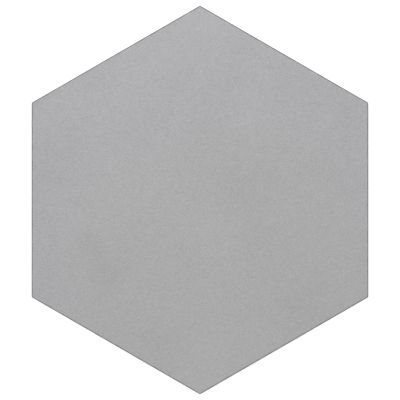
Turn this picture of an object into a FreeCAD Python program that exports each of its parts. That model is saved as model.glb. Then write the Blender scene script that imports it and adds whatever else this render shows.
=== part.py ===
"""A hexagon floor tile: one dry-pressed and fired slab of matte porcelain.

The tile lies on its back, face up. The origin is the centre of the plane that the back
rests on, +Z points out of the face, X runs across the flats and Y across the corners.
The face's edge is eased by a small round, the side stands upright below it, and the
lowest part of the side leans in, as the press leaves it. The back carries a honeycomb
of shallow hollows with sloping walls, which the adhesive keys into, inside a plain rim.
All lengths are in millimetres and all angles in degrees.
"""

import FreeCAD
import Part
import math
import os

# The slab, whose corners are measured before they are rounded
ACROSS_CORNERS = 250.0
THICKNESS = 9.0
CORNER_RADIUS = 0.8
ARRIS_RADIUS = 0.6
BACK_TAPER_HEIGHT = 2.5
BACK_TAPER_INSET = 1.0

# The key pattern in the back
RIM_WIDTH = 6.0
KEY_PITCH_WANTED = 14.0
KEY_RIB_WIDTH = 2.6
KEY_DEPTH = 0.8
KEY_WALL_SLOPE = 35.0

SIDES = 6
SECTOR = 360.0 / SIDES
COS_HALF_SECTOR = math.cos(math.radians(SECTOR / 2))

# The slab has a corner on +Y, so its first corner is half a sector round from +X. The
# hollows are turned the other way, so that the rim cuts the outer ones squarely in half.
SLAB_CORNER = SECTOR / 2
HOLLOW_CORNER = 0.0

face_apothem = ACROSS_CORNERS / 2 * COS_HALF_SECTOR
back_apothem = face_apothem - BACK_TAPER_INSET
field_apothem = back_apothem - RIM_WIDTH

# The honeycomb has whole rings of cells, and the last ring is centred on the field's edge,
# so the pitch is the nearest one to the wanted pitch that fits.
key_rings = round(field_apothem / (KEY_PITCH_WANTED * COS_HALF_SECTOR))
key_pitch = field_apothem / (key_rings * COS_HALF_SECTOR)
key_wall_run = KEY_DEPTH * math.tan(math.radians(KEY_WALL_SLOPE))


def polar(radius, angle, z=0.0):
    """The point at this radius and angle about the tile's axis."""
    turn = math.radians(angle)
    return FreeCAD.Vector(radius * math.cos(turn), radius * math.sin(turn), z)


def hexagon(apothem, first_corner, z):
    """The corners of a hexagon at height z, the first in the direction first_corner."""
    radius = apothem / COS_HALF_SECTOR
    return [polar(radius, first_corner + SECTOR * k, z) for k in range(SIDES)]


def flat_face(corners):
    return Part.Face(Part.makePolygon(corners + corners[:1]))


def frustum(lower, upper):
    """The solid with flat walls from one hexagon up to the other."""
    walls = [
        flat_face([lower[k - 1], lower[k], upper[k], upper[k - 1]])
        for k in range(SIDES)
    ]
    return Part.Solid(Part.Shell([flat_face(lower), *walls, flat_face(upper)]))


def heights(edge):
    """The heights of an edge's ends, without the noise of the kernel's arithmetic."""
    return {round(vertex.Z, 6) for vertex in edge.Vertexes}


def slab():
    """The tile without its key pattern: leaning foot, upright side and rounded edges."""
    back = hexagon(back_apothem, SLAB_CORNER, 0.0)
    shoulder = hexagon(face_apothem, SLAB_CORNER, BACK_TAPER_HEIGHT)
    face = hexagon(face_apothem, SLAB_CORNER, THICKNESS)
    blank = frustum(back, shoulder).fuse(frustum(shoulder, face))

    corner_edges = [edge for edge in blank.Edges if len(heights(edge)) == 2]
    blank = blank.makeFillet(CORNER_RADIUS, corner_edges)

    face_edges = [edge for edge in blank.Edges if heights(edge) == {THICKNESS}]
    return blank.makeFillet(ARRIS_RADIUS, face_edges)


def hollow(mouth_apothem, first_corner):
    """A hollow KEY_DEPTH deep whose walls slope in from its mouth in the back's plane."""
    return frustum(
        hexagon(mouth_apothem, first_corner, 0.0),
        hexagon(mouth_apothem - key_wall_run, first_corner, KEY_DEPTH),
    )


def honeycomb_places():
    """Yields (ring, place) for each cell of a honeycomb with key_rings rings."""
    step_a = polar(key_pitch, SECTOR / 2)
    step_b = polar(key_pitch, SECTOR * 3 / 2)
    for a in range(-key_rings, key_rings + 1):
        for b in range(-key_rings, key_rings + 1):
            ring = max(abs(a), abs(b), abs(a + b))
            if ring <= key_rings:
                yield ring, step_a * a + step_b * b


def key_pattern():
    """The hollows to sink in the back: whole cells, and an outer ring that the rim cuts."""
    cell = hollow((key_pitch - KEY_RIB_WIDTH) / 2, HOLLOW_CORNER)
    whole = []
    outer = []
    for ring, place in honeycomb_places():
        cells = outer if ring == key_rings else whole
        cells.append(cell.translated(place))
    field = hollow(field_apothem, SLAB_CORNER)
    cut_by_rim = field.common(Part.makeCompound(outer))
    return Part.makeCompound(whole + cut_by_rim.Solids)


def main():
    os.makedirs("parts", exist_ok=True)
    tile = slab().cut(key_pattern()).Solids[0]
    tile.exportStep("parts/hexagon_tile.step")
    print(
        f"across flats {2 * face_apothem:.2f} mm, {key_rings} rings of keys at "
        f"{key_pitch:.2f} mm, volume {tile.Volume:.0f} mm3, valid {tile.isValid()}"
    )


main()
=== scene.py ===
"""A hexagon floor tile of matte porcelain, laid out as a Blender add-on.

The tile lies on its back with a corner on +Y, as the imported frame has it. Its slab has a
fine grid over the face, so that the face can carry the slight waviness of a fired tile,
and a honeycomb of key hollows in the back. All lengths are in metres.
"""

import math

import bmesh
import bpy
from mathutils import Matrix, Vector


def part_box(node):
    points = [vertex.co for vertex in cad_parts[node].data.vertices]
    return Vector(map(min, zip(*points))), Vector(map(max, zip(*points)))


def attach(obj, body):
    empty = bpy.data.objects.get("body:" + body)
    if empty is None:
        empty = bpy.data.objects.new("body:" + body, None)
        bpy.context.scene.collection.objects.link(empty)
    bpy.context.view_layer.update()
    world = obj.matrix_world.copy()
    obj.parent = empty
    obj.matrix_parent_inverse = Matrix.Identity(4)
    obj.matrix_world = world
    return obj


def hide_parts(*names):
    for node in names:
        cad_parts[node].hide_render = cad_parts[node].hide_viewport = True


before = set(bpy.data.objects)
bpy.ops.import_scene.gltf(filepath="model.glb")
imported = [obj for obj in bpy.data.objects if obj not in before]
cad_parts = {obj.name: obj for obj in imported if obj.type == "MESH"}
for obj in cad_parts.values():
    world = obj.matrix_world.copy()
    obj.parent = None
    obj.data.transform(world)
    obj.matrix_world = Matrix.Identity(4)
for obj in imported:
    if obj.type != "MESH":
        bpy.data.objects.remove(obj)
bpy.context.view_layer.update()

bl_info = {
    "name": "Hexagon Floor Tile",
    "version": (1, 0, 0),
    "blender": (4, 5, 0),
    "location": "View3D > Sidebar > Floor Tile",
    "description": "Models a pressed porcelain floor tile and a plain white studio",
    "category": "Object",
}

CAD_NODE = "hexagon_tile"
BODY = "root"

# The tile stands on its origin, so its highest corner gives its half width and thickness
HALF_WIDTH, _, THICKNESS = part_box(CAD_NODE)[1]

SIDES = 6
SECTOR = 2 * math.pi / SIDES
COS_HALF_SECTOR = math.cos(SECTOR / 2)
MM = 0.001

# Places and heights that differ by less than this are taken as the same
SAME_PLACE = 1e-5

# How many steps the rounds have: over the arris, round a corner and over a rib's edge
ARRIS_STEPS = 6
CORNER_STEPS = 4
RIB_STEPS = 2

# Edges of the key pattern that turn by more than this are softened. The walls of a whole
# hollow turn by less where they meet each other, and stay sharp there.
SOFTENED_TURN = math.radians(50)

# Faces that meet at less than this are shaded as one surface
SMOOTH_TURN = math.radians(35)


class FloorTileShape(bpy.types.PropertyGroup):
    """The tile's sizes, as the pressing die gives them."""

    apothem: bpy.props.FloatProperty(
        name="Half Width",
        description="From the tile's axis to each flat side",
        default=HALF_WIDTH,
        unit="LENGTH",
    )
    thickness: bpy.props.FloatProperty(
        name="Thickness",
        description="From the back's plane to the face",
        default=THICKNESS,
        unit="LENGTH",
    )
    corner_radius: bpy.props.FloatProperty(
        name="Corner Radius",
        description="Round of the six upright corners",
        default=0.8 * MM,
        unit="LENGTH",
    )
    arris_radius: bpy.props.FloatProperty(
        name="Arris Radius",
        description="Round between the face and the side",
        default=0.6 * MM,
        unit="LENGTH",
    )
    foot_height: bpy.props.FloatProperty(
        name="Foot Height",
        description="Height of the lowest part of the side, which leans in",
        default=2.5 * MM,
        unit="LENGTH",
    )
    foot_inset: bpy.props.FloatProperty(
        name="Foot Inset",
        description="How far the foot leans in by the time it meets the back",
        default=1.0 * MM,
        unit="LENGTH",
    )
    shoulder_softness: bpy.props.FloatProperty(
        name="Shoulder Softness",
        description="Height that softens the edge between the foot and the upright side",
        default=0.3 * MM,
        unit="LENGTH",
    )
    edge_softness: bpy.props.FloatProperty(
        name="Back Edge Softness",
        description="Width that softens the edge between the foot and the back",
        default=0.2 * MM,
        unit="LENGTH",
    )
    grid_cuts: bpy.props.IntProperty(
        name="Face Grid",
        description="Cuts along each side of the face, which set how fine its grid is",
        default=99,
        min=9,
        max=119,
    )
    waviness: bpy.props.FloatProperty(
        name="Waviness",
        description="Deepest dip that drying and firing leave in the face",
        default=0.10 * MM,
        unit="LENGTH",
    )
    wave_length: bpy.props.FloatProperty(
        name="Wave Length",
        description="Size of one dip in the face",
        default=70 * MM,
        unit="LENGTH",
    )
    wave_fade: bpy.props.FloatProperty(
        name="Wave Fade",
        description="Width of the strip beside the arris where the dips fade out",
        default=12 * MM,
        unit="LENGTH",
    )
    rim_width: bpy.props.FloatProperty(
        name="Rim Width",
        description="Plain rim round the key pattern in the back",
        default=6.0 * MM,
        unit="LENGTH",
    )
    key_rings: bpy.props.IntProperty(
        name="Key Rings",
        description="Rings of hollows round the one in the middle of the back",
        default=8,
        min=1,
        max=12,
    )
    rib_width: bpy.props.FloatProperty(
        name="Rib Width",
        description="Width of the ribs between the hollows",
        default=2.6 * MM,
        unit="LENGTH",
    )
    key_depth: bpy.props.FloatProperty(
        name="Key Depth",
        description="Depth of the hollows",
        default=0.8 * MM,
        unit="LENGTH",
    )
    key_slope: bpy.props.FloatProperty(
        name="Key Wall Slope",
        description="Angle of the hollows' walls from the upright",
        default=math.radians(35),
        unit="ROTATION",
    )
    rib_softness: bpy.props.FloatProperty(
        name="Rib Softness",
        description="Width that softens the ribs' edges and the hollows' bottoms",
        default=0.25 * MM,
        unit="LENGTH",
    )


class FloorTileFinish(bpy.types.PropertyGroup):
    """The tile's colours and the strength of what breaks them up."""

    face_colour: bpy.props.FloatVectorProperty(
        name="Face",
        description="Colour of the matte face",
        subtype="COLOR",
        default=(0.382, 0.381, 0.3825),
    )
    cool_colour: bpy.props.FloatVectorProperty(
        name="Cool Cast",
        description="Colour that the face leans to at the top and the sides",
        subtype="COLOR",
        default=(0.378, 0.377, 0.390),
    )
    warm_colour: bpy.props.FloatVectorProperty(
        name="Warm Cast",
        description="Colour that the face leans to in one patch near its lowest corner",
        subtype="COLOR",
        default=(0.386, 0.378, 0.381),
    )
    body_colour: bpy.props.FloatVectorProperty(
        name="Body",
        description="Colour of the bare fired body on the side and the back",
        subtype="COLOR",
        default=(0.44, 0.43, 0.417),
    )
    engobe_colour: bpy.props.FloatVectorProperty(
        name="Engobe",
        description="Colour of the pale coat between the body and the glaze",
        subtype="COLOR",
        default=(0.6, 0.59, 0.57),
    )
    kiln_wash_colour: bpy.props.FloatVectorProperty(
        name="Kiln Wash",
        description="Colour of the powder that keeps the back off the kiln rollers",
        subtype="COLOR",
        default=(0.72, 0.71, 0.69),
    )
    kiln_wash_cover: bpy.props.FloatProperty(
        name="Kiln Wash Cover",
        description="How much of the body's colour the kiln wash hides where it is thickest",
        default=0.8,
        min=0.0,
        max=1.0,
        subtype="FACTOR",
    )
    # Painted shade: the two settings below darken the face's colour along the arris, for the
    # shade on the edge that rounds away from the light
    arris_shade_depth: bpy.props.FloatProperty(
        name="Arris Tone",
        description="How much darker the glaze fires where it thins over the arris",
        default=0.64,
        min=0.0,
        max=1.0,
        subtype="FACTOR",
    )
    arris_shade_reach: bpy.props.FloatProperty(
        name="Arris Reach",
        description="How far the darker glaze reaches from the outline, in and down",
        default=0.72 * MM,
        unit="LENGTH",
    )
    grain: bpy.props.FloatProperty(
        name="Grain",
        description="Strength of the fine grain in the face's tone",
        default=0.14,
        min=0.0,
        max=1.0,
        subtype="FACTOR",
    )
    clouding: bpy.props.FloatProperty(
        name="Clouding",
        description="Strength of the soft clouds in the face's tone",
        default=0.036,
        min=0.0,
        max=1.0,
        subtype="FACTOR",
    )
    specks: bpy.props.FloatProperty(
        name="Specks",
        description="How much darker the specks in the bare body are",
        default=0.2,
        min=0.0,
        max=1.0,
        subtype="FACTOR",
    )
    stipple: bpy.props.FloatProperty(
        name="Stipple",
        description="Height of the fine stipple that makes the face matte",
        default=0.02 * MM,
        unit="LENGTH",
    )
    side_relief: bpy.props.FloatProperty(
        name="Side Relief",
        description="Height of the pits and drag lines in the side",
        default=0.04 * MM,
        unit="LENGTH",
    )
    back_relief: bpy.props.FloatProperty(
        name="Back Relief",
        description="Height of the pits in the back, and of the kiln wash on it",
        default=0.05 * MM,
        unit="LENGTH",
    )
    glaze_roughness: bpy.props.FloatProperty(
        name="Glaze Roughness",
        description="Roughness of the matte glaze on the face",
        default=0.56,
        min=0.0,
        max=1.0,
        subtype="FACTOR",
    )
    side_roughness: bpy.props.FloatProperty(
        name="Side Roughness",
        description="Roughness of the bare body on the side",
        default=0.82,
        min=0.0,
        max=1.0,
        subtype="FACTOR",
    )
    side_gloss: bpy.props.FloatProperty(
        name="Side Gloss",
        description="How much less rough the side is where the glaze runs over it",
        default=0.24,
        min=0.0,
        max=1.0,
        subtype="FACTOR",
    )
    back_roughness: bpy.props.FloatProperty(
        name="Back Roughness",
        description="Roughness of the dusty back",
        default=0.88,
        min=0.0,
        max=1.0,
        subtype="FACTOR",
    )
    glaze_drop: bpy.props.FloatProperty(
        name="Glaze Drop",
        description="How far the glaze runs down the side from the face",
        default=1.6 * MM,
        unit="LENGTH",
    )
    engobe_drop: bpy.props.FloatProperty(
        name="Engobe Drop",
        description="How far the pale coat shows below the glaze",
        default=0.35 * MM,
        unit="LENGTH",
    )


class FloorTileStage(bpy.types.PropertyGroup):
    """The plain white studio and the camera over the tile."""

    view_width: bpy.props.FloatProperty(
        name="View Width",
        description="Width of the picture at the height of the face",
        default=256.86 * MM,
        unit="LENGTH",
    )
    camera_place: bpy.props.FloatVectorProperty(
        name="Camera Place",
        description="Where the camera stands over the face, a hair off its middle",
        size=2,
        default=(0.015 * MM, -0.06 * MM),
        unit="LENGTH",
    )
    lens: bpy.props.FloatProperty(
        name="Lens",
        description="Focal length in millimetres",
        default=85.0,
        min=1.0,
        unit="CAMERA",
    )
    floor_size: bpy.props.FloatProperty(
        name="Floor Size",
        description="Width of the floor",
        default=8.0,
        unit="LENGTH",
    )
    floor_gap: bpy.props.FloatProperty(
        name="Floor Gap",
        description="How far the floor lies below the back, so that they don't share a plane",
        default=0.1 * MM,
        unit="LENGTH",
    )
    floor_colour: bpy.props.FloatVectorProperty(
        name="Floor",
        description="Colour of the floor's paint, which takes the lamps' light and the shadow",
        subtype="COLOR",
        default=(0.7, 0.7, 0.7),
    )
    near_glow: bpy.props.FloatProperty(
        name="Near Glow",
        description="What the eye sees of the floor by the tile, beside what the lamps light",
        default=0.66,
        min=0.0,
    )
    far_glow: bpy.props.FloatProperty(
        name="Far Glow",
        description="What the eye sees of the floor far from the tile and the softbox",
        default=0.71,
        min=0.0,
    )
    glow_span: bpy.props.FloatVectorProperty(
        name="Glow Span",
        description="How far from the tile's axis the near glow ends and the far one starts",
        size=2,
        default=(0.15, 0.8),
        unit="LENGTH",
    )
    sky: bpy.props.FloatProperty(
        name="Sky",
        description="Strength of the even light from all round",
        default=0.42,
        min=0.0,
    )
    softbox_power: bpy.props.FloatProperty(
        name="Softbox",
        description="Power of the softbox over the tile",
        default=10.6,
        min=0.0,
        unit="POWER",
    )
    softbox_size: bpy.props.FloatProperty(
        name="Softbox Size",
        description="Width of the square softbox",
        default=1.2,
        unit="LENGTH",
    )
    softbox_place: bpy.props.FloatVectorProperty(
        name="Softbox Place",
        description="Middle of the softbox, which faces the tile",
        default=(-0.12, 0.42, 1.1),
        subtype="TRANSLATION",
    )


def polar(radius, angle):
    """The point at this radius and angle about the tile's axis."""
    return Vector((radius * math.cos(angle), radius * math.sin(angle), 0.0))


def flat_directions():
    """The six directions that the flat sides face."""
    return [polar(1.0, SECTOR * k) for k in range(SIDES)]


def distance_out(point):
    """How far a point lies from the tile's axis, measured square to its nearest flat side."""
    return max(point.dot(flat) for flat in flat_directions())


def select_only(*pieces):
    """Selects these pieces and no others, and makes the first one active."""
    bpy.ops.object.select_all(action="DESELECT")
    for piece in pieces:
        piece.select_set(True)
    bpy.context.view_layer.objects.active = pieces[0]


def pick(piece, kind, test):
    """In edit mode, selects only the piece's "VERT" or "EDGE" elements that pass the test."""
    bpy.ops.mesh.select_mode(type=kind)
    bpy.ops.mesh.select_all(action="DESELECT")
    mesh = bmesh.from_edit_mesh(piece.data)
    for element in {"VERT": mesh.verts, "EDGE": mesh.edges}[kind]:
        if test(element):
            element.select_set(True)
    mesh.select_flush_mode()
    bmesh.update_edit_mesh(piece.data)


def add_hexagon(name, apothem, place, turn=0.0):
    """Adds a flat hexagon that faces up, with a corner on +Y before it is turned."""
    bpy.ops.object.select_all(action="DESELECT")
    bpy.ops.mesh.primitive_circle_add(
        vertices=SIDES,
        radius=apothem / COS_HALF_SECTOR,
        fill_type="NGON",
        location=place,
        rotation=(0.0, 0.0, turn),
    )
    hexagon = bpy.context.object
    hexagon.name = name
    hexagon.data.name = name
    bpy.ops.object.transform_apply(location=True, rotation=True, scale=True)
    return hexagon


def is_corner_edge(edge):
    """True for an edge that runs down one of the six corners."""
    first, second = (vertex.co for vertex in edge.verts)
    if abs(first.z - second.z) < SAME_PLACE:
        return False
    return all(
        distance_out(point) < point.xy.length * COS_HALF_SECTOR + SAME_PLACE
        for point in (first, second)
    )


def softened(before, corner, after):
    """Three places that round off the corner between the places before and after it."""
    yield before
    yield tuple((a + 2 * b + c) / 4 for a, b, c in zip(before, corner, after))
    yield after


def side_profile(shape):
    """The side from the face down to the back, as places (inset, height)."""
    for k in range(1, ARRIS_STEPS + 1):
        turn = k * math.pi / 2 / ARRIS_STEPS
        yield (
            shape.arris_radius * (1 - math.sin(turn)),
            shape.thickness - shape.arris_radius * (1 - math.cos(turn)),
        )

    # One place between the arris and the foot parts the upright side into two rows of faces
    yield 0.0, (shape.thickness + shape.foot_height) / 2

    lean = shape.foot_inset / shape.foot_height
    soft = shape.shoulder_softness
    yield from softened(
        (0.0, shape.foot_height + soft),
        (0.0, shape.foot_height),
        (lean * soft, shape.foot_height - soft),
    )
    soft = shape.edge_softness
    yield from softened(
        (shape.foot_inset - lean * soft, soft),
        (shape.foot_inset, 0.0),
        (shape.foot_inset + soft, 0.0),
    )


def model_face_and_sides(shape):
    """The slab without its back: a fine face grid, and the side drawn down from its rim."""
    apothem = shape.apothem - shape.arris_radius
    height = shape.thickness
    slab = add_hexagon("hexagon_floor_tile", apothem, (0.0, 0.0, height))

    bpy.ops.object.mode_set(mode="EDIT")
    bpy.ops.mesh.select_all(action="SELECT")
    bpy.ops.mesh.poke()
    bpy.ops.mesh.subdivide(number_cuts=shape.grid_cuts)
    bpy.ops.mesh.region_to_loop()
    for inset, next_height in side_profile(shape):
        next_apothem = shape.apothem - inset
        spread = next_apothem / apothem
        bpy.ops.mesh.extrude_region_move(
            TRANSFORM_OT_translate={"value": (0.0, 0.0, next_height - height)}
        )
        bpy.ops.transform.resize(
            value=(spread, spread, 1.0), center_override=(0.0, 0.0, 0.0)
        )
        apothem, height = next_apothem, next_height

    pick(slab, "EDGE", is_corner_edge)
    bpy.ops.mesh.bevel(
        offset=shape.corner_radius * math.tan(SECTOR / 2),
        segments=CORNER_STEPS,
        affect="EDGES",
        clamp_overlap=False,
    )

    # The bevels end a hair above the face, so their tips are brought down to it
    pick(slab, "VERT", lambda vertex: vertex.co.z > shape.thickness)
    bpy.ops.transform.resize(
        value=(1.0, 1.0, 0.0), center_override=(0.0, 0.0, shape.thickness)
    )
    bpy.ops.object.mode_set(mode="OBJECT")
    return slab


def repeat_in_row(cells, step, count):
    """Repeats the cells along one direction."""
    row = cells.modifiers.new("Row", "ARRAY")
    row.use_relative_offset = False
    row.use_constant_offset = True
    row.constant_offset_displace = step
    row.count = count
    bpy.ops.object.modifier_apply(modifier=row.name)


def model_key_pattern(shape):
    """The back's honeycomb: cells cut off at the rim, each with a hollow between ribs."""
    field_apothem = shape.apothem - shape.foot_inset - shape.rim_width
    pitch = field_apothem / (shape.key_rings * COS_HALF_SECTOR)
    step_a = polar(pitch, SECTOR / 2)
    step_b = polar(pitch, SECTOR * 3 / 2)

    # The cells fill a rhombus, which is then cut down to the hexagon inside the rim
    first_place = (step_a + step_b) * -shape.key_rings
    keys = add_hexagon("key_pattern", pitch / 2, first_place, turn=SECTOR / 2)
    for step in (step_a, step_b):
        repeat_in_row(keys, step, 2 * shape.key_rings + 1)

    bpy.ops.object.mode_set(mode="EDIT")
    bpy.ops.mesh.select_all(action="SELECT")
    bpy.ops.mesh.remove_doubles(threshold=SAME_PLACE)
    bpy.ops.mesh.flip_normals()
    for flat in flat_directions():
        bpy.ops.mesh.select_all(action="SELECT")
        bpy.ops.mesh.bisect(
            plane_co=flat * (field_apothem + shape.rib_width / 2),
            plane_no=flat,
            clear_outer=True,
        )

    bpy.ops.mesh.select_mode(type="FACE")
    bpy.ops.mesh.select_all(action="SELECT")
    bpy.ops.mesh.inset(thickness=shape.rib_width / 2, use_individual=True)
    bpy.ops.mesh.inset(
        thickness=shape.key_depth * math.tan(shape.key_slope),
        depth=-shape.key_depth,
        use_individual=True,
    )
    bpy.ops.mesh.select_mode(type="EDGE")
    bpy.ops.mesh.select_all(action="DESELECT")
    bpy.ops.mesh.edges_select_sharp(sharpness=SOFTENED_TURN)
    bpy.ops.mesh.bevel(
        offset=shape.rib_softness,
        segments=RIB_STEPS,
        affect="EDGES",
        clamp_overlap=False,
    )
    bpy.ops.object.mode_set(mode="OBJECT")
    return keys


def join_back(slab, keys):
    """Joins the key pattern to the slab, with the back's plain rim between them."""
    select_only(slab, keys)
    bpy.ops.object.join()

    bpy.ops.object.mode_set(mode="EDIT")
    pick(slab, "EDGE", lambda edge: edge.is_boundary)
    bpy.ops.mesh.bridge_edge_loops()
    bpy.ops.mesh.select_all(action="SELECT")
    bpy.ops.mesh.normals_make_consistent(inside=False)
    bpy.ops.object.mode_set(mode="OBJECT")


def warp_face(slab, shape):
    """Gives the face its slight dips, which fade out before the arris."""
    group = slab.vertex_groups.new(name="face")
    for vertex in slab.data.vertices:
        if abs(vertex.co.z - shape.thickness) < SAME_PLACE:
            inside = shape.apothem - distance_out(vertex.co) - shape.arris_radius
            weight = min(1.0, max(0.0, inside / shape.wave_fade))
            group.add([vertex.index], weight, "REPLACE")

    clouds = bpy.data.textures.new("firing_waves", "CLOUDS")
    clouds.noise_scale = shape.wave_length
    clouds.noise_depth = 1
    warp = slab.modifiers.new("Waves", "DISPLACE")
    warp.texture = clouds
    warp.texture_coords = "LOCAL"
    warp.direction = "Z"
    warp.vertex_group = group.name
    warp.strength = shape.waviness

    # With its middle at 1, the texture only ever lowers the face
    warp.mid_level = 1.0
    select_only(slab)
    bpy.ops.object.modifier_apply(modifier=warp.name)


def smooth(piece):
    """Shades the rounds smooth and keeps the flats flat."""
    select_only(piece)
    bpy.ops.object.shade_smooth_by_angle(angle=SMOOTH_TURN)
    weigh = piece.modifiers.new("Flats", "WEIGHTED_NORMAL")
    weigh.keep_sharp = True
    bpy.ops.object.modifier_apply(modifier=weigh.name)


def emptied_tree(owner):
    """The node tree of a material or world, with nothing in it."""
    owner.use_nodes = True
    owner.node_tree.nodes.clear()
    return owner.node_tree


def node(tree, kind, inputs=None, **settings):
    """Adds a shader node with these settings, its inputs linked from sockets or set.

    A colour is given as three numbers, without its alpha.
    """
    added = tree.nodes.new(kind)
    for name, value in settings.items():
        setattr(added, name, value)
    for name, value in (inputs or {}).items():
        socket = added.inputs[name]
        if isinstance(value, bpy.types.NodeSocket):
            tree.links.new(value, socket)
        elif socket.type == "RGBA":
            socket.default_value = (*value, 1.0)
        else:
            socket.default_value = value
    return added


def math_node(tree, operation, *values):
    """The value of one sum on sockets or numbers."""
    return node(
        tree, "ShaderNodeMath", dict(enumerate(values)), operation=operation
    ).outputs[0]


def vector_node(tree, operation, inputs, output="Vector"):
    """The result of one sum on places or colours."""
    return node(
        tree, "ShaderNodeVectorMath", inputs, operation=operation
    ).outputs[output]


def scaled(tree, vector, factor):
    """A place or colour times a factor."""
    return vector_node(tree, "SCALE", {0: vector, "Scale": factor})


def stretched(tree, place, scale):
    """The place scaled on each axis, so that noise on it is drawn out where this is below 1."""
    return node(tree, "ShaderNodeMapping", {"Vector": place, "Scale": scale}).outputs["Vector"]


def mix_colour(tree, factor, first, second):
    """The first colour where the factor is 0, and the second where it is 1.

    The node gives its sockets for colours the same names as others, so they go by number.
    """
    return node(
        tree, "ShaderNodeMix", {0: factor, 6: first, 7: second}, data_type="RGBA"
    ).outputs[2]


def ramp(tree, value, start, end):
    """Rises smoothly from 0 where the value is start to 1 where it is end."""
    return node(
        tree,
        "ShaderNodeMapRange",
        {"Value": value, "From Min": start, "From Max": end},
        interpolation_type="SMOOTHSTEP",
    ).outputs["Result"]


def above(tree, value, level, softness):
    """0 below the level and 1 above it, rising over the softness on each side of it."""
    return ramp(tree, value, level - softness, level + softness)


def noise(tree, place, size, detail=2.0):
    """Noise about zero, whose blots are about this size."""
    return node(
        tree,
        "ShaderNodeTexNoise",
        {"Vector": place, "Scale": 1.0 / size, "Detail": detail},
        normalize=False,
    ).outputs["Fac"]


def uneven(tree, place, value, size, depth, detail=2.0):
    """The value, moved up and down by noise of this size and depth."""
    return math_node(tree, "MULTIPLY_ADD", noise(tree, place, size, detail), depth, value)


def ruffled(tree, place, size, depth):
    """The place pushed about by noise, so that what is laid out on it has ragged edges."""
    push = node(
        tree, "ShaderNodeTexNoise", {"Vector": place, "Scale": 1.0 / size, "Detail": 2.0}
    ).outputs["Color"]
    centred = vector_node(tree, "SUBTRACT", {0: push, 1: (0.5, 0.5, 0.5)})
    return vector_node(tree, "ADD", {0: place, 1: scaled(tree, centred, 2 * depth)})


def object_place(tree):
    """The place on the piece, in its own coordinates."""
    return node(tree, "ShaderNodeTexCoord").outputs["Object"]


def place_height(tree, place):
    """How high a place is."""
    return node(tree, "ShaderNodeSeparateXYZ", {"Vector": place}).outputs["Z"]


def edge_distance(tree, place):
    """How far out a place is, measured square to the nearest flat side.

    Opposite sides face along one line, so three directions do for the six.
    """
    farthest = 0.0
    for flat in flat_directions()[: SIDES // 2]:
        along = vector_node(tree, "DOT_PRODUCT", {0: place, 1: flat}, "Value")
        farthest = math_node(tree, "MAXIMUM", farthest, math_node(tree, "ABSOLUTE", along))
    return farthest


def spot(tree, place, face_height, x, y, reach):
    """1 at this place on the face, in millimetres, fading to 0 at its reach."""
    middle = (x * MM, y * MM, face_height)
    away = vector_node(tree, "DISTANCE", {0: place, 1: middle}, "Value")
    return ramp(tree, away, reach * MM, 0.0)


def set_surface(tree, colour, roughness, relief, depth):
    """Ends a material's tree in one surface, whose relief is this deep for a height of 1."""
    bump = node(tree, "ShaderNodeBump", {"Height": relief, "Distance": depth})
    shader = node(
        tree,
        "ShaderNodeBsdfPrincipled",
        {"Base Color": colour, "Roughness": roughness, "Normal": bump.outputs["Normal"]},
    )
    node(tree, "ShaderNodeOutputMaterial", {"Surface": shader.outputs["BSDF"]})


# The face's two grains: their size, and the scale along X that draws the finer one out
FACE_GRAINS = (
    (0.7 * MM, 1.0),
    (0.44 * MM, 0.35),
)

# The face's clouds: their size, and their share of the clouding
FACE_CLOUDS = (
    (9 * MM, 0.2),
    (34 * MM, 0.65),
)

# The soft blots in the face's tone: x, y and reach in millimetres, and the change of tone
TONE_SPOTS = (
    (0, 128, 75, 0.058),
    (0, -128, 70, 0.038),
    (-106, 15, 52, -0.030),
    (16, 87, 30, -0.016),
    (10, 29, 38, -0.034),
    (38, 2, 40, -0.034),
    (44, -32, 26, -0.034),
    (67, -64, 34, -0.022),
    (-68, -30, 17, -0.070),
    (-60, -49, 18, -0.054),
    (-26, -97, 30, -0.018),
    (-42, 4, 42, 0.016),
    (-52, 68, 36, 0.024),
    (36, 54, 26, 0.028),
    (-20, -68, 26, 0.026),
    (6, -94, 22, 0.024),
)

# Where the face has no cool cast, and where it has a warm one: x, y and reach in millimetres
PLAIN_SPOT = (15, -60, 180)
WARM_SPOT = (-29, -99, 34)


def painted_arris_shade(tree, place, shape, finish):
    """Painted shade along the arris: 1 there, fading out on the face above it and on the side
    below it.
    """
    wander = noise(tree, place, 5 * MM)
    line = 1.0
    for value, edge in (
        (edge_distance(tree, place), shape.apothem),
        (place_height(tree, place), shape.thickness),
    ):
        value = math_node(tree, "MULTIPLY_ADD", wander, 0.15 * MM, value)
        near = above(tree, value, edge - finish.arris_shade_reach, softness=0.18 * MM)
        line = math_node(tree, "MULTIPLY", line, near)
    return line


def face_tone(tree, place, shape, finish):
    """The face's tone about 1: its grain, its clouds and its soft blots."""
    tone = 1.0
    for size, drawn in FACE_GRAINS:
        drawn_place = stretched(tree, place, (drawn, 1.0, 1.0))
        tone = uneven(tree, drawn_place, tone, size, finish.grain, detail=4.0)
    for size, share in FACE_CLOUDS:
        tone = uneven(tree, place, tone, size, finish.clouding * share)
    blot_place = ruffled(tree, place, size=14 * MM, depth=7 * MM)
    for x, y, reach, change in TONE_SPOTS:
        blot = spot(tree, blot_place, shape.thickness, x, y, reach)
        tone = math_node(tree, "MULTIPLY_ADD", blot, change, tone)
    return tone


def glaze_colour_and_arris_shade(tree, place, shape, finish):
    """The face's colour: its casts, its tone and a painted shade along the arris."""
    drift = ruffled(tree, place, size=30 * MM, depth=14 * MM)
    plain = spot(tree, drift, shape.thickness, *PLAIN_SPOT)
    warm = spot(tree, drift, shape.thickness, *WARM_SPOT)
    colour = mix_colour(tree, plain, finish.cool_colour, finish.face_colour)
    colour = mix_colour(tree, warm, colour, finish.warm_colour)

    tone = face_tone(tree, place, shape, finish)
    # The arris is darkened in the colour: painted shade for its round, which turns away from
    # the light
    line = painted_arris_shade(tree, place, shape, finish)
    arris_shaded = math_node(tree, "MULTIPLY_ADD", line, -finish.arris_shade_depth, 1.0)
    return scaled(tree, colour, math_node(tree, "MULTIPLY", tone, arris_shaded))


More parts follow.
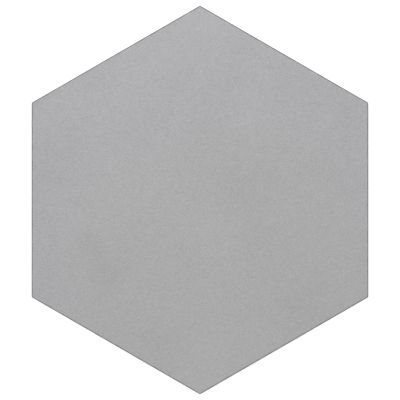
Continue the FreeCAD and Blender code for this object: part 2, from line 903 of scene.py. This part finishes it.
def body_colour(tree, place, finish):
    """The bare fired body, with soft blotches, fine grains and some dark specks in it."""
    tone = uneven(tree, place, 1.0, size=6 * MM, depth=0.08)
    tone = uneven(tree, place, tone, size=0.3 * MM, depth=0.25)
    specks = ramp(tree, noise(tree, place, 0.6 * MM, detail=1.0), start=0.24, end=0.36)
    tone = math_node(tree, "MULTIPLY_ADD", specks, -finish.specks, tone)
    return scaled(tree, finish.body_colour, tone)


def matte_glaze(shape, finish):
    """The face's material: matte glaze, with a fine stipple and a slightly coarser one."""
    material = bpy.data.materials.new("matte_glaze")
    tree = emptied_tree(material)
    place = object_place(tree)
    colour = glaze_colour_and_arris_shade(tree, place, shape, finish)
    roughness = uneven(tree, place, finish.glaze_roughness, size=5 * MM, depth=0.08)
    fine = noise(tree, place, 0.45 * MM)
    stipple = uneven(tree, place, fine, size=1.6 * MM, depth=1.5)
    set_surface(tree, colour, roughness, stipple, finish.stipple)
    return material


def pressed_side(shape, finish):
    """The side's material: bare body with the die's upright drag lines, and a glazed top."""
    material = bpy.data.materials.new("pressed_side")
    tree = emptied_tree(material)
    place = object_place(tree)
    run = uneven(tree, place, place_height(tree, place), size=9 * MM, depth=0.5 * MM)
    run = uneven(tree, place, run, size=1.5 * MM, depth=0.2 * MM)
    glaze_end = shape.thickness - finish.glaze_drop
    engobe_end = glaze_end - finish.engobe_drop
    glazed = above(tree, run, glaze_end, softness=0.08 * MM)
    coated = above(tree, run, engobe_end, softness=0.12 * MM)

    body = body_colour(tree, place, finish)
    # The glazed top of the side takes the face's colour, with its painted shade along the arris
    glaze = glaze_colour_and_arris_shade(tree, place, shape, finish)
    colour = mix_colour(tree, coated, body, finish.engobe_colour)
    colour = mix_colour(tree, glazed, colour, glaze)
    roughness = math_node(
        tree, "MULTIPLY_ADD", glazed, -finish.side_gloss, finish.side_roughness
    )

    # The relief is measured in pit heights. The drag lines run straight up the side, and
    # the glaze ends in a step.
    glaze_step = 1.2
    upright = stretched(tree, place, (1.0, 1.0, 0.06))
    pits = noise(tree, place, 0.4 * MM)
    relief = uneven(tree, upright, pits, size=0.8 * MM, depth=1.5)
    relief = math_node(tree, "MULTIPLY_ADD", glazed, glaze_step, relief)
    set_surface(tree, colour, roughness, relief, finish.side_relief)
    return material


def washed_back(finish):
    """The back's material: bare body, with kiln wash left on the crests of its ribs."""
    material = bpy.data.materials.new("washed_back")
    tree = emptied_tree(material)
    place = object_place(tree)
    crest = ramp(tree, place_height(tree, place), start=0.35 * MM, end=0.05 * MM)
    patches = noise(tree, place, 11 * MM, detail=4.0)
    wash = math_node(tree, "MULTIPLY", crest, ramp(tree, patches, start=-0.25, end=0.2))
    cover = math_node(tree, "MULTIPLY", wash, finish.kiln_wash_cover)
    body = body_colour(tree, place, finish)
    colour = mix_colour(tree, cover, body, finish.kiln_wash_colour)

    # The relief is measured in pit heights, and the wash lies over the pits
    wash_height = 0.6
    pits = noise(tree, place, 0.5 * MM)
    relief = math_node(tree, "MULTIPLY_ADD", wash, wash_height, pits)
    set_surface(tree, colour, finish.back_roughness, relief, finish.back_relief)
    return material


def give_finish(slab, shape, finish):
    """Gives the face, the side and the back their own materials, by height."""
    face_slot, side_slot, back_slot = range(3)
    slab.data.materials.append(matte_glaze(shape, finish))
    slab.data.materials.append(pressed_side(shape, finish))
    slab.data.materials.append(washed_back(finish))
    side_top = shape.thickness - shape.arris_radius - SAME_PLACE
    side_bottom = shape.key_depth + SAME_PLACE
    for face in slab.data.polygons:
        heights = [slab.data.vertices[index].co.z for index in face.vertices]
        if min(heights) > side_top:
            face.material_index = face_slot
        elif max(heights) > side_bottom:
            face.material_index = side_slot
        else:
            face.material_index = back_slot


class OBJECT_OT_add_floor_tile(bpy.types.Operator):
    """Model the hexagon floor tile, with its key pattern in the back"""

    bl_idname = "object.add_floor_tile"
    bl_label = "Floor Tile"

    def execute(self, context):
        shape = context.scene.floor_tile_shape
        finish = context.scene.floor_tile_finish
        slab = model_face_and_sides(shape)
        keys = model_key_pattern(shape)
        join_back(slab, keys)
        warp_face(slab, shape)
        smooth(slab)
        give_finish(slab, shape, finish)
        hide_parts(CAD_NODE)
        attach(slab, BODY)
        return {"FINISHED"}


def seen_rays(tree):
    """1 for the rays that the eye follows: direct, mirrored and through glass."""
    path = node(tree, "ShaderNodeLightPath").outputs
    seen = math_node(tree, "MAXIMUM", path["Is Camera Ray"], path["Is Glossy Ray"])
    return math_node(tree, "MAXIMUM", seen, path["Is Transmission Ray"])


def white_floor(stage):
    """The floor's material: matte paint that also glows for the rays that the eye follows."""
    material = bpy.data.materials.new("white_floor")
    tree = emptied_tree(material)
    away = vector_node(tree, "LENGTH", {0: object_place(tree)}, "Value")
    far = ramp(tree, away, *stage.glow_span)
    rise = stage.far_glow - stage.near_glow
    level = math_node(tree, "MULTIPLY_ADD", far, rise, stage.near_glow)
    strength = math_node(tree, "MULTIPLY", seen_rays(tree), level)

    paint = node(tree, "ShaderNodeBsdfDiffuse", {"Color": stage.floor_colour})
    glow = node(tree, "ShaderNodeEmission", {"Strength": strength})
    both = node(
        tree, "ShaderNodeAddShader", {0: paint.outputs["BSDF"], 1: glow.outputs["Emission"]}
    )
    node(tree, "ShaderNodeOutputMaterial", {"Surface": both.outputs["Shader"]})
    return material


def lay_floor(stage):
    """A white floor that keeps the tile's shadow."""
    bpy.ops.mesh.primitive_plane_add(
        size=stage.floor_size, location=(0.0, 0.0, -stage.floor_gap)
    )
    floor = bpy.context.object
    floor.name = "studio_floor"
    floor.data.materials.append(white_floor(stage))


def light_stage(stage):
    """An even pale surround and one softbox over the tile, nearer to its upper corner."""
    world = bpy.data.worlds.new("studio")
    tree = emptied_tree(world)
    strength = math_node(
        tree, "MULTIPLY_ADD", seen_rays(tree), 1.0 - stage.sky, stage.sky
    )
    sky = node(
        tree, "ShaderNodeBackground", {"Color": (1.0, 1.0, 1.0), "Strength": strength}
    )
    node(tree, "ShaderNodeOutputWorld", {"Surface": sky.outputs["Background"]})
    bpy.context.scene.world = world

    place = Vector(stage.softbox_place)
    facing = (-place).to_track_quat("-Z", "Y").to_euler()
    bpy.ops.object.light_add(type="AREA", location=place, rotation=facing)
    softbox = bpy.context.object
    softbox.name = "softbox"
    softbox.data.shape = "SQUARE"
    softbox.data.size = stage.softbox_size
    softbox.data.energy = stage.softbox_power


def set_camera(stage, face_height):
    """A camera straight above the tile, with the photograph's framing."""
    bpy.ops.object.camera_add(rotation=(0.0, 0.0, 0.0))
    camera = bpy.context.object
    camera.name = "camera"
    camera.data.lens = stage.lens
    distance = stage.view_width * stage.lens / camera.data.sensor_width
    camera.location = (*stage.camera_place, face_height + distance)
    bpy.context.scene.camera = camera


class OBJECT_OT_add_tile_stage(bpy.types.Operator):
    """Set up the white floor, the light and the camera over the tile"""

    bl_idname = "object.add_tile_stage"
    bl_label = "White Studio"

    def execute(self, context):
        stage = context.scene.floor_tile_stage
        bpy.ops.object.select_all(action="DESELECT")
        lay_floor(stage)
        light_stage(stage)
        set_camera(stage, context.scene.floor_tile_shape.thickness)
        context.scene.view_settings.view_transform = "Standard"
        return {"FINISHED"}


class VIEW3D_PT_floor_tile(bpy.types.Panel):
    """Sizes, finish and stage of the floor tile"""

    bl_label = "Floor Tile"
    bl_space_type = "VIEW_3D"
    bl_region_type = "UI"
    bl_category = "Floor Tile"

    def draw(self, context):
        scene = context.scene
        self.layout.operator(OBJECT_OT_add_floor_tile.bl_idname)
        self.list_settings(scene.floor_tile_shape)
        self.list_settings(scene.floor_tile_finish)
        self.layout.operator(OBJECT_OT_add_tile_stage.bl_idname)
        self.list_settings(scene.floor_tile_stage)

    def list_settings(self, group):
        """Lists each setting of a property group under the last button."""
        column = self.layout.column()
        for name in type(group).__annotations__:
            column.prop(group, name)


CLASSES = (
    FloorTileShape,
    FloorTileFinish,
    FloorTileStage,
    OBJECT_OT_add_floor_tile,
    OBJECT_OT_add_tile_stage,
    VIEW3D_PT_floor_tile,
)


def register():
    for cls in CLASSES:
        bpy.utils.register_class(cls)
    scene = bpy.types.Scene
    scene.floor_tile_shape = bpy.props.PointerProperty(type=FloorTileShape)
    scene.floor_tile_finish = bpy.props.PointerProperty(type=FloorTileFinish)
    scene.floor_tile_stage = bpy.props.PointerProperty(type=FloorTileStage)


def unregister():
    del bpy.types.Scene.floor_tile_stage
    del bpy.types.Scene.floor_tile_finish
    del bpy.types.Scene.floor_tile_shape
    for cls in reversed(CLASSES):
        bpy.utils.unregister_class(cls)


def main():
    """Makes the tile and its stage."""
    register()
    bpy.ops.object.add_floor_tile()
    bpy.ops.object.add_tile_stage()


if __name__ == "__main__":
    main()
